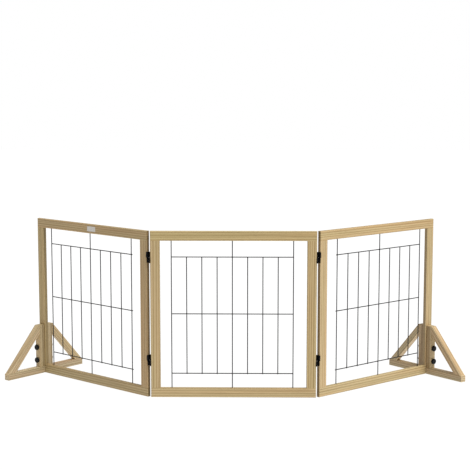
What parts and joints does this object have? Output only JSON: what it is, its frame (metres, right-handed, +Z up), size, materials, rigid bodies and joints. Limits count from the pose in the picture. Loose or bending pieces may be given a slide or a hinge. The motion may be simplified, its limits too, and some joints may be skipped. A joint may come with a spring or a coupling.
{
  "type": "folding pet gate",
  "caption": "Free-standing folding pet gate with wood-framed wire panels, two-way screen hinges and bolted triangular feet.",
  "frame": {"origin": "middle of the centre panel's underside", "axes": "+X along the centre panel to the right, +Y to the rear, where the wings fold, +Z up"},
  "size_m": [1.766, 0.5419, 0.61],
  "materials": {
    "pine": "clear satin lacquer",
    "dowel_wood": "unfinished",
    "black_wire": "satin powder coat",
    "black_metal": "semi-gloss paint",
    "black_plastic": "satin",
    "plate": "brushed"
  },
  "bodies": {
    "centre_panel": {"centre_bottom_rail": "pine", "centre_corner_dowels": "dowel_wood", "centre_hinge_leaves": "black_metal", "centre_hinge_links": "black_metal", "centre_hinge_pins": "black_metal", "centre_hinge_screws": "black_metal", "centre_left_stile": "pine", "centre_right_stile": "pine", "centre_top_rail": "pine", "centre_wire_crossbars": "black_wire", "centre_wire_uprights": "black_wire"},
    "left_wing": {"left_bottom_rail": "pine", "left_corner_dowels": "dowel_wood", "left_hinge_leaves": "black_metal", "left_hinge_links": "black_metal", "left_hinge_pins": "black_metal", "left_hinge_screws": "black_metal", "left_left_stile": "pine", "left_name_plate": "plate", "left_right_stile": "pine", "left_top_rail": "pine", "left_wire_crossbars": "black_wire", "left_wire_uprights": "black_wire"},
    "left_front_foot": {"left_front_foot_base": "pine", "left_front_foot_brace": "pine", "left_front_foot_dowels": "dowel_wood", "left_front_foot_post": "pine"},
    "left_upper_knob_bolt": {"left_upper_knob_bolt": "black_plastic"},
    "left_lower_knob_bolt": {"left_lower_knob_bolt": "black_plastic"},
    "left_rear_foot": {"left_rear_foot_base": "pine", "left_rear_foot_brace": "pine", "left_rear_foot_dowels": "dowel_wood", "left_rear_foot_post": "pine"},
    "left_upper_knob_nut": {"left_upper_knob_nut": "black_plastic"},
    "left_lower_knob_nut": {"left_lower_knob_nut": "black_plastic"},
    "right_wing": {"right_bottom_rail": "pine", "right_corner_dowels": "dowel_wood", "right_hinge_leaves": "black_metal", "right_hinge_links": "black_metal", "right_hinge_pins": "black_metal", "right_hinge_screws": "black_metal", "right_left_stile": "pine", "right_right_stile": "pine", "right_top_rail": "pine", "right_wire_crossbars": "black_wire", "right_wire_uprights": "black_wire"},
    "right_front_foot": {"right_front_foot_base": "pine", "right_front_foot_brace": "pine", "right_front_foot_dowels": "dowel_wood", "right_front_foot_post": "pine"},
    "right_upper_knob_bolt": {"right_upper_knob_bolt": "black_plastic"},
    "right_lower_knob_bolt": {"right_lower_knob_bolt": "black_plastic"},
    "right_rear_foot": {"right_rear_foot_base": "pine", "right_rear_foot_brace": "pine", "right_rear_foot_dowels": "dowel_wood", "right_rear_foot_post": "pine"},
    "right_upper_knob_nut": {"right_upper_knob_nut": "black_plastic"},
    "right_lower_knob_nut": {"right_lower_knob_nut": "black_plastic"}
  },
  "joints": [
    {"name": "left_wing_fold", "type": "hinge", "parent": "centre_panel", "child": "left_wing", "pos_m": [-0.3013, 0.0085, 0], "axis": [0, 0, -1], "range_deg": [-40.3, 49.7]},
    {"name": "left_front_foot_pull_off", "type": "slide", "parent": "left_wing", "child": "left_front_foot", "axis": [-0.6468, -0.7627, 0], "range_m": [0, 0.09]},
    {"name": "left_upper_knob_bolt_turn", "type": "hinge", "parent": "left_front_foot", "child": "left_upper_knob_bolt", "pos_m": [-0.75204, 0.37961, 0.104], "axis": [-0.6468, -0.7627, 0], "continuous": true},
    {"name": "left_lower_knob_bolt_turn", "type": "hinge", "parent": "left_front_foot", "child": "left_lower_knob_bolt", "pos_m": [-0.75204, 0.37961, 0.053], "axis": [-0.6468, -0.7627, 0], "continuous": true},
    {"name": "left_rear_foot_pull_off", "type": "slide", "parent": "left_wing", "child": "left_rear_foot", "axis": [0.6468, 0.7627, 0], "range_m": [0, 0.09]},
    {"name": "left_upper_knob_nut_turn", "type": "hinge", "parent": "left_rear_foot", "child": "left_upper_knob_nut", "pos_m": [-0.75204, 0.37961, 0.104], "axis": [0.6468, 0.7627, 0], "continuous": true},
    {"name": "left_lower_knob_nut_turn", "type": "hinge", "parent": "left_rear_foot", "child": "left_lower_knob_nut", "pos_m": [-0.75204, 0.37961, 0.053], "axis": [0.6468, 0.7627, 0], "continuous": true},
    {"name": "right_wing_fold", "type": "hinge", "parent": "centre_panel", "child": "right_wing", "pos_m": [0.3013, 0.0085, 0], "axis": [0, 0, 1], "range_deg": [-40.3, 49.7]},
    {"name": "right_front_foot_pull_off", "type": "slide", "parent": "right_wing", "child": "right_front_foot", "axis": [0.6468, -0.7627, 0], "range_m": [0, 0.09]},
    {"name": "right_upper_knob_bolt_turn", "type": "hinge", "parent": "right_front_foot", "child": "right_upper_knob_bolt", "pos_m": [0.75204, 0.37961, 0.104], "axis": [0.6468, -0.7627, 0], "continuous": true},
    {"name": "right_lower_knob_bolt_turn", "type": "hinge", "parent": "right_front_foot", "child": "right_lower_knob_bolt", "pos_m": [0.75204, 0.37961, 0.053], "axis": [0.6468, -0.7627, 0], "continuous": true},
    {"name": "right_rear_foot_pull_off", "type": "slide", "parent": "right_wing", "child": "right_rear_foot", "axis": [-0.6468, 0.7627, 0], "range_m": [0, 0.09]},
    {"name": "right_upper_knob_nut_turn", "type": "hinge", "parent": "right_rear_foot", "child": "right_upper_knob_nut", "pos_m": [0.75204, 0.37961, 0.104], "axis": [-0.6468, 0.7627, 0], "continuous": true},
    {"name": "right_lower_knob_nut_turn", "type": "hinge", "parent": "right_rear_foot", "child": "right_lower_knob_nut", "pos_m": [0.75204, 0.37961, 0.053], "axis": [-0.6468, 0.7627, 0], "continuous": true}
  ]
}
